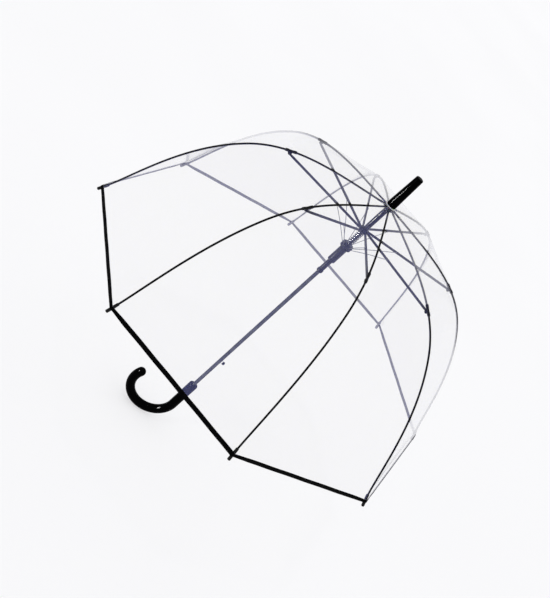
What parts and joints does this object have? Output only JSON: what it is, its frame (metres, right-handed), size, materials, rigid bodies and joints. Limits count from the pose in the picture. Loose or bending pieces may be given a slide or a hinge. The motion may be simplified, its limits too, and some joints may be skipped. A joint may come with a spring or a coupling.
{
  "type": "dome umbrella",
  "caption": "Clear dome umbrella, shown open, with a straight steel shaft, folding ribs, a sprung double runner and a black crook handle.",
  "frame": {"origin": "on the shaft's axis, at the height of the crook handle's lowest point", "axes": "+Z along the shaft towards the ferrule, +X towards the crook's hook; one rib lies over +X and the others every 45 degrees"},
  "size_m": [0.866, 0.866, 0.8285],
  "materials": {
    "gloss_black": "gloss moulded plastic",
    "rib_black": "satin black glass fibre, moulded tips and taped hem",
    "shaft_steel": "plated steel tube, satin",
    "stretcher_steel": "dark plated steel, satin",
    "spring_steel": "bright spring wire",
    "grey_plastic": "grey moulded nylon",
    "clear_plastic": "frosted clear plastic",
    "clear_film": "clear film with a faint haze"
  },
  "bodies": {
    "frame": {"shaft": "shaft_steel", "handle": "gloss_black", "ferrule": "gloss_black", "ferrule_washer": "clear_plastic", "top_notch": "grey_plastic"},
    "runner": {"runner": "grey_plastic"},
    "hub": {"middle_hub": "grey_plastic", "hub_tube": "grey_plastic", "opening_spring": "spring_steel"},
    "catch": {"lower_catch": "grey_plastic"},
    "rib_inner_1": {"rib_inner_1": "rib_black"},
    "rib_outer_1": {"rib_outer_1": "rib_black"},
    "stretcher_1": {"stretcher_1": "stretcher_steel"},
    "pull_wire_1": {"pull_wire_1": "spring_steel"},
    "film_inner_1": {"film_inner_1": "clear_film"},
    "film_outer_1": {"film_outer_1": "clear_film"},
    "rib_inner_2": {"rib_inner_2": "rib_black"},
    "rib_outer_2": {"rib_outer_2": "rib_black"},
    "stretcher_2": {"stretcher_2": "stretcher_steel"},
    "pull_wire_2": {"pull_wire_2": "spring_steel"},
    "film_inner_2": {"film_inner_2": "clear_film"},
    "film_outer_2": {"film_outer_2": "clear_film"},
    "rib_inner_3": {"rib_inner_3": "rib_black"},
    "rib_outer_3": {"rib_outer_3": "rib_black"},
    "stretcher_3": {"stretcher_3": "stretcher_steel"},
    "pull_wire_3": {"pull_wire_3": "spring_steel"},
    "film_inner_3": {"film_inner_3": "clear_film"},
    "film_outer_3": {"film_outer_3": "clear_film"},
    "rib_inner_4": {"rib_inner_4": "rib_black"},
    "rib_outer_4": {"rib_outer_4": "rib_black"},
    "stretcher_4": {"stretcher_4": "stretcher_steel"},
    "pull_wire_4": {"pull_wire_4": "spring_steel"},
    "film_inner_4": {"film_inner_4": "clear_film"},
    "film_outer_4": {"film_outer_4": "clear_film"},
    "rib_inner_5": {"rib_inner_5": "rib_black"},
    "rib_outer_5": {"rib_outer_5": "rib_black"},
    "stretcher_5": {"stretcher_5": "stretcher_steel"},
    "pull_wire_5": {"pull_wire_5": "spring_steel"},
    "film_inner_5": {"film_inner_5": "clear_film"},
    "film_outer_5": {"film_outer_5": "clear_film"},
    "rib_inner_6": {"rib_inner_6": "rib_black"},
    "rib_outer_6": {"rib_outer_6": "rib_black"},
    "stretcher_6": {"stretcher_6": "stretcher_steel"},
    "pull_wire_6": {"pull_wire_6": "spring_steel"},
    "film_inner_6": {"film_inner_6": "clear_film"},
    "film_outer_6": {"film_outer_6": "clear_film"},
    "rib_inner_7": {"rib_inner_7": "rib_black"},
    "rib_outer_7": {"rib_outer_7": "rib_black"},
    "stretcher_7": {"stretcher_7": "stretcher_steel"},
    "pull_wire_7": {"pull_wire_7": "spring_steel"},
    "film_inner_7": {"film_inner_7": "clear_film"},
    "film_outer_7": {"film_outer_7": "clear_film"},
    "rib_inner_8": {"rib_inner_8": "rib_black"},
    "rib_outer_8": {"rib_outer_8": "rib_black"},
    "stretcher_8": {"stretcher_8": "stretcher_steel"},
    "pull_wire_8": {"pull_wire_8": "spring_steel"},
    "film_inner_8": {"film_inner_8": "clear_film"},
    "film_outer_8": {"film_outer_8": "clear_film"}
  },
  "joints": [
    {"name": "runner_slide", "type": "slide", "parent": "frame", "child": "runner", "axis": [0, 0, -1], "range_m": [0, 0.30623], "stiffness_N_per_m": 80, "springref_m": -0.15, "deforming": ["opening_spring", "film_inner_1", "film_inner_2", "film_inner_3", "film_inner_4", "film_inner_5", "film_inner_6", "film_inner_7", "film_inner_8", "film_outer_1", "film_outer_2", "film_outer_3", "film_outer_4", "film_outer_5", "film_outer_6", "film_outer_7", "film_outer_8"]},
    {"name": "hub_slide", "type": "slide", "parent": "frame", "child": "hub", "axis": [0, 0, -1], "range_m": [0, 0.33801]},
    {"name": "catch_press", "type": "slide", "parent": "frame", "child": "catch", "axis": [1, 0, 0], "range_m": [0, 0.0045], "stiffness_N_per_m": 400, "springref_m": -0.002},
    {"name": "rib_hinge_1", "type": "hinge", "parent": "frame", "child": "rib_inner_1", "pos_m": [0.0085, 0, 0.74645], "axis": [0, 1, 0], "range_deg": [0, 71.04]},
    {"name": "rib_knee_1", "type": "hinge", "parent": "rib_inner_1", "child": "rib_outer_1", "pos_m": [0.27837, 0, 0.65635], "axis": [0, 1, 0], "range_deg": [-44.31, 0]},
    {"name": "stretcher_hinge_1", "type": "hinge", "parent": "hub", "child": "stretcher_1", "pos_m": [0.008, 0.0037, 0.6776], "axis": [0, 1, 0], "range_deg": [-78.92, 0]},
    {"name": "pull_wire_hinge_1", "type": "hinge", "parent": "runner", "child": "pull_wire_1", "pos_m": [0.011, 0.0013, 0.629], "axis": [0, 1, 0], "range_deg": [-47.99, 0]},
    {"name": "film_hinge_1", "type": "hinge", "parent": "frame", "child": "film_inner_1", "pos_m": [0.00726, 0.003, 0.74935], "axis": [-0.3827, 0.9239, 0], "range_deg": [0, 68.58]},
    {"name": "film_knee_1", "type": "hinge", "parent": "film_inner_1", "child": "film_outer_1", "pos_m": [0.23934, 0.09914, 0.65842], "axis": [-0.3827, 0.9239, 0], "range_deg": [-43.62, 0]},
    {"name": "rib_hinge_2", "type": "hinge", "parent": "frame", "child": "rib_inner_2", "pos_m": [0.00601, 0.00601, 0.74645], "axis": [-0.7071, 0.7071, 0], "range_deg": [0, 71.04]},
    {"name": "rib_knee_2", "type": "hinge", "parent": "rib_inner_2", "child": "rib_outer_2", "pos_m": [0.19684, 0.19684, 0.65635], "axis": [-0.7071, 0.7071, 0], "range_deg": [-44.31, 0]},
    {"name": "stretcher_hinge_2", "type": "hinge", "parent": "hub", "child": "stretcher_2", "pos_m": [0.00304, 0.00827, 0.6776], "axis": [-0.7071, 0.7071, 0], "range_deg": [-78.92, 0]},
    {"name": "pull_wire_hinge_2", "type": "hinge", "parent": "runner", "child": "pull_wire_2", "pos_m": [0.00686, 0.0087, 0.629], "axis": [-0.7071, 0.7071, 0], "range_deg": [-47.99, 0]},
    {"name": "film_hinge_2", "type": "hinge", "parent": "frame", "child": "film_inner_2", "pos_m": [0.003, 0.00726, 0.74935], "axis": [-0.9239, 0.3827, 0], "range_deg": [0, 68.58]},
    {"name": "film_knee_2", "type": "hinge", "parent": "film_inner_2", "child": "film_outer_2", "pos_m": [0.09914, 0.23934, 0.65842], "axis": [-0.9239, 0.3827, 0], "range_deg": [-43.62, 0]},
    {"name": "rib_hinge_3", "type": "hinge", "parent": "frame", "child": "rib_inner_3", "pos_m": [0, 0.0085, 0.74645], "axis": [-1, 0, 0], "range_deg": [0, 71.04]},
    {"name": "rib_knee_3", "type": "hinge", "parent": "rib_inner_3", "child": "rib_outer_3", "pos_m": [0, 0.27837, 0.65635], "axis": [-1, 0, 0], "range_deg": [-44.31, 0]},
    {"name": "stretcher_hinge_3", "type": "hinge", "parent": "hub", "child": "stretcher_3", "pos_m": [-0.0037, 0.008, 0.6776], "axis": [-1, 0, 0], "range_deg": [-78.92, 0]},
    {"name": "pull_wire_hinge_3", "type": "hinge", "parent": "runner", "child": "pull_wire_3", "pos_m": [-0.0013, 0.011, 0.629], "axis": [-1, 0, 0], "range_deg": [-47.99, 0]},
    {"name": "film_hinge_3", "type": "hinge", "parent": "frame", "child": "film_inner_3", "pos_m": [-0.003, 0.00726, 0.74935], "axis": [-0.9239, -0.3827, 0], "range_deg": [0, 68.58]},
    {"name": "film_knee_3", "type": "hinge", "parent": "film_inner_3", "child": "film_outer_3", "pos_m": [-0.09914, 0.23934, 0.65842], "axis": [-0.9239, -0.3827, 0], "range_deg": [-43.62, 0]},
    {"name": "rib_hinge_4", "type": "hinge", "parent": "frame", "child": "rib_inner_4", "pos_m": [-0.00601, 0.00601, 0.74645], "axis": [-0.7071, -0.7071, 0], "range_deg": [0, 71.04]},
    {"name": "rib_knee_4", "type": "hinge", "parent": "rib_inner_4", "child": "rib_outer_4", "pos_m": [-0.19684, 0.19684, 0.65635], "axis": [-0.7071, -0.7071, 0], "range_deg": [-44.31, 0]},
    {"name": "stretcher_hinge_4", "type": "hinge", "parent": "hub", "child": "stretcher_4", "pos_m": [-0.00827, 0.00304, 0.6776], "axis": [-0.7071, -0.7071, 0], "range_deg": [-78.92, 0]},
    {"name": "pull_wire_hinge_4", "type": "hinge", "parent": "runner", "child": "pull_wire_4", "pos_m": [-0.0087, 0.00686, 0.629], "axis": [-0.7071, -0.7071, 0], "range_deg": [-47.99, 0]},
    {"name": "film_hinge_4", "type": "hinge", "parent": "frame", "child": "film_inner_4", "pos_m": [-0.00726, 0.003, 0.74935], "axis": [-0.3827, -0.9239, 0], "range_deg": [0, 68.58]},
    {"name": "film_knee_4", "type": "hinge", "parent": "film_inner_4", "child": "film_outer_4", "pos_m": [-0.23934, 0.09914, 0.65842], "axis": [-0.3827, -0.9239, 0], "range_deg": [-43.62, 0]},
    {"name": "rib_hinge_5", "type": "hinge", "parent": "frame", "child": "rib_inner_5", "pos_m": [-0.0085, 0, 0.74645], "axis": [0, -1, 0], "range_deg": [0, 71.04]},
    {"name": "rib_knee_5", "type": "hinge", "parent": "rib_inner_5", "child": "rib_outer_5", "pos_m": [-0.27837, 0, 0.65635], "axis": [0, -1, 0], "range_deg": [-44.31, 0]},
    {"name": "stretcher_hinge_5", "type": "hinge", "parent": "hub", "child": "stretcher_5", "pos_m": [-0.008, -0.0037, 0.6776], "axis": [0, -1, 0], "range_deg": [-78.92, 0]},
    {"name": "pull_wire_hinge_5", "type": "hinge", "parent": "runner", "child": "pull_wire_5", "pos_m": [-0.011, -0.0013, 0.629], "axis": [0, -1, 0], "range_deg": [-47.99, 0]},
    {"name": "film_hinge_5", "type": "hinge", "parent": "frame", "child": "film_inner_5", "pos_m": [-0.00726, -0.003, 0.74935], "axis": [0.3827, -0.9239, 0], "range_deg": [0, 68.58]},
    {"name": "film_knee_5", "type": "hinge", "parent": "film_inner_5", "child": "film_outer_5", "pos_m": [-0.23934, -0.09914, 0.65842], "axis": [0.3827, -0.9239, 0], "range_deg": [-43.62, 0]},
    {"name": "rib_hinge_6", "type": "hinge", "parent": "frame", "child": "rib_inner_6", "pos_m": [-0.00601, -0.00601, 0.74645], "axis": [0.7071, -0.7071, 0], "range_deg": [0, 71.04]},
    {"name": "rib_knee_6", "type": "hinge", "parent": "rib_inner_6", "child": "rib_outer_6", "pos_m": [-0.19684, -0.19684, 0.65635], "axis": [0.7071, -0.7071, 0], "range_deg": [-44.31, 0]},
    {"name": "stretcher_hinge_6", "type": "hinge", "parent": "hub", "child": "stretcher_6", "pos_m": [-0.00304, -0.00827, 0.6776], "axis": [0.7071, -0.7071, 0], "range_deg": [-78.92, 0]},
    {"name": "pull_wire_hinge_6", "type": "hinge", "parent": "runner", "child": "pull_wire_6", "pos_m": [-0.00686, -0.0087, 0.629], "axis": [0.7071, -0.7071, 0], "range_deg": [-47.99, 0]},
    {"name": "film_hinge_6", "type": "hinge", "parent": "frame", "child": "film_inner_6", "pos_m": [-0.003, -0.00726, 0.74935], "axis": [0.9239, -0.3827, 0], "range_deg": [0, 68.58]},
    {"name": "film_knee_6", "type": "hinge", "parent": "film_inner_6", "child": "film_outer_6", "pos_m": [-0.09914, -0.23934, 0.65842], "axis": [0.9239, -0.3827, 0], "range_deg": [-43.62, 0]},
    {"name": "rib_hinge_7", "type": "hinge", "parent": "frame", "child": "rib_inner_7", "pos_m": [0, -0.0085, 0.74645], "axis": [1, 0, 0], "range_deg": [0, 71.04]},
    {"name": "rib_knee_7", "type": "hinge", "parent": "rib_inner_7", "child": "rib_outer_7", "pos_m": [0, -0.27837, 0.65635], "axis": [1, 0, 0], "range_deg": [-44.31, 0]},
    {"name": "stretcher_hinge_7", "type": "hinge", "parent": "hub", "child": "stretcher_7", "pos_m": [0.0037, -0.008, 0.6776], "axis": [1, 0, 0], "range_deg": [-78.92, 0]},
    {"name": "pull_wire_hinge_7", "type": "hinge", "parent": "runner", "child": "pull_wire_7", "pos_m": [0.0013, -0.011, 0.629], "axis": [1, 0, 0], "range_deg": [-47.99, 0]},
    {"name": "film_hinge_7", "type": "hinge", "parent": "frame", "child": "film_inner_7", "pos_m": [0.003, -0.00726, 0.74935], "axis": [0.9239, 0.3827, 0], "range_deg": [0, 68.58]},
    {"name": "film_knee_7", "type": "hinge", "parent": "film_inner_7", "child": "film_outer_7", "pos_m": [0.09914, -0.23934, 0.65842], "axis": [0.9239, 0.3827, 0], "range_deg": [-43.62, 0]},
    {"name": "rib_hinge_8", "type": "hinge", "parent": "frame", "child": "rib_inner_8", "pos_m": [0.00601, -0.00601, 0.74645], "axis": [0.7071, 0.7071, 0], "range_deg": [0, 71.04]},
    {"name": "rib_knee_8", "type": "hinge", "parent": "rib_inner_8", "child": "rib_outer_8", "pos_m": [0.19684, -0.19684, 0.65635], "axis": [0.7071, 0.7071, 0], "range_deg": [-44.31, 0]},
    {"name": "stretcher_hinge_8", "type": "hinge", "parent": "hub", "child": "stretcher_8", "pos_m": [0.00827, -0.00304, 0.6776], "axis": [0.7071, 0.7071, 0], "range_deg": [-78.92, 0]},
    {"name": "pull_wire_hinge_8", "type": "hinge", "parent": "runner", "child": "pull_wire_8", "pos_m": [0.0087, -0.00686, 0.629], "axis": [0.7071, 0.7071, 0], "range_deg": [-47.99, 0]},
    {"name": "film_hinge_8", "type": "hinge", "parent": "frame", "child": "film_inner_8", "pos_m": [0.00726, -0.003, 0.74935], "axis": [0.3827, 0.9239, 0], "range_deg": [0, 68.58]},
    {"name": "film_knee_8", "type": "hinge", "parent": "film_inner_8", "child": "film_outer_8", "pos_m": [0.23934, -0.09914, 0.65842], "axis": [0.3827, 0.9239, 0], "range_deg": [-43.62, 0]}
  ],
  "couplings": [
    {"joint": "hub_slide", "follows": "runner_slide", "ratio": 1.1036},
    {"joint": "rib_hinge_1", "follows": "runner_slide", "rad_per_m": 4.0486},
    {"joint": "rib_knee_1", "follows": "runner_slide", "rad_per_m": -2.5249},
    {"joint": "stretcher_hinge_1", "follows": "runner_slide", "rad_per_m": -4.4977},
    {"joint": "pull_wire_hinge_1", "follows": "runner_slide", "rad_per_m": -2.7348},
    {"joint": "film_hinge_1", "follows": "runner_slide", "rad_per_m": 3.908},
    {"joint": "film_knee_1", "follows": "runner_slide", "rad_per_m": -2.4858},
    {"joint": "rib_hinge_2", "follows": "runner_slide", "rad_per_m": 4.0486},
    {"joint": "rib_knee_2", "follows": "runner_slide", "rad_per_m": -2.5249},
    {"joint": "stretcher_hinge_2", "follows": "runner_slide", "rad_per_m": -4.4977},
    {"joint": "pull_wire_hinge_2", "follows": "runner_slide", "rad_per_m": -2.7348},
    {"joint": "film_hinge_2", "follows": "runner_slide", "rad_per_m": 3.908},
    {"joint": "film_knee_2", "follows": "runner_slide", "rad_per_m": -2.4858},
    {"joint": "rib_hinge_3", "follows": "runner_slide", "rad_per_m": 4.0486},
    {"joint": "rib_knee_3", "follows": "runner_slide", "rad_per_m": -2.5249},
    {"joint": "stretcher_hinge_3", "follows": "runner_slide", "rad_per_m": -4.4977},
    {"joint": "pull_wire_hinge_3", "follows": "runner_slide", "rad_per_m": -2.7348},
    {"joint": "film_hinge_3", "follows": "runner_slide", "rad_per_m": 3.908},
    {"joint": "film_knee_3", "follows": "runner_slide", "rad_per_m": -2.4858},
    {"joint": "rib_hinge_4", "follows": "runner_slide", "rad_per_m": 4.0486},
    {"joint": "rib_knee_4", "follows": "runner_slide", "rad_per_m": -2.5249},
    {"joint": "stretcher_hinge_4", "follows": "runner_slide", "rad_per_m": -4.4977},
    {"joint": "pull_wire_hinge_4", "follows": "runner_slide", "rad_per_m": -2.7348},
    {"joint": "film_hinge_4", "follows": "runner_slide", "rad_per_m": 3.908},
    {"joint": "film_knee_4", "follows": "runner_slide", "rad_per_m": -2.4858},
    {"joint": "rib_hinge_5", "follows": "runner_slide", "rad_per_m": 4.0486},
    {"joint": "rib_knee_5", "follows": "runner_slide", "rad_per_m": -2.5249},
    {"joint": "stretcher_hinge_5", "follows": "runner_slide", "rad_per_m": -4.4977},
    {"joint": "pull_wire_hinge_5", "follows": "runner_slide", "rad_per_m": -2.7348},
    {"joint": "film_hinge_5", "follows": "runner_slide", "rad_per_m": 3.908},
    {"joint": "film_knee_5", "follows": "runner_slide", "rad_per_m": -2.4858},
    {"joint": "rib_hinge_6", "follows": "runner_slide", "rad_per_m": 4.0486},
    {"joint": "rib_knee_6", "follows": "runner_slide", "rad_per_m": -2.5249},
    {"joint": "stretcher_hinge_6", "follows": "runner_slide", "rad_per_m": -4.4977},
    {"joint": "pull_wire_hinge_6", "follows": "runner_slide", "rad_per_m": -2.7348},
    {"joint": "film_hinge_6", "follows": "runner_slide", "rad_per_m": 3.908},
    {"joint": "film_knee_6", "follows": "runner_slide", "rad_per_m": -2.4858},
    {"joint": "rib_hinge_7", "follows": "runner_slide", "rad_per_m": 4.0486},
    {"joint": "rib_knee_7", "follows": "runner_slide", "rad_per_m": -2.5249},
    {"joint": "stretcher_hinge_7", "follows": "runner_slide", "rad_per_m": -4.4977},
    {"joint": "pull_wire_hinge_7", "follows": "runner_slide", "rad_per_m": -2.7348},
    {"joint": "film_hinge_7", "follows": "runner_slide", "rad_per_m": 3.908},
    {"joint": "film_knee_7", "follows": "runner_slide", "rad_per_m": -2.4858},
    {"joint": "rib_hinge_8", "follows": "runner_slide", "rad_per_m": 4.0486},
    {"joint": "rib_knee_8", "follows": "runner_slide", "rad_per_m": -2.5249},
    {"joint": "stretcher_hinge_8", "follows": "runner_slide", "rad_per_m": -4.4977},
    {"joint": "pull_wire_hinge_8", "follows": "runner_slide", "rad_per_m": -2.7348},
    {"joint": "film_hinge_8", "follows": "runner_slide", "rad_per_m": 3.908},
    {"joint": "film_knee_8", "follows": "runner_slide", "rad_per_m": -2.4858}
  ]
}
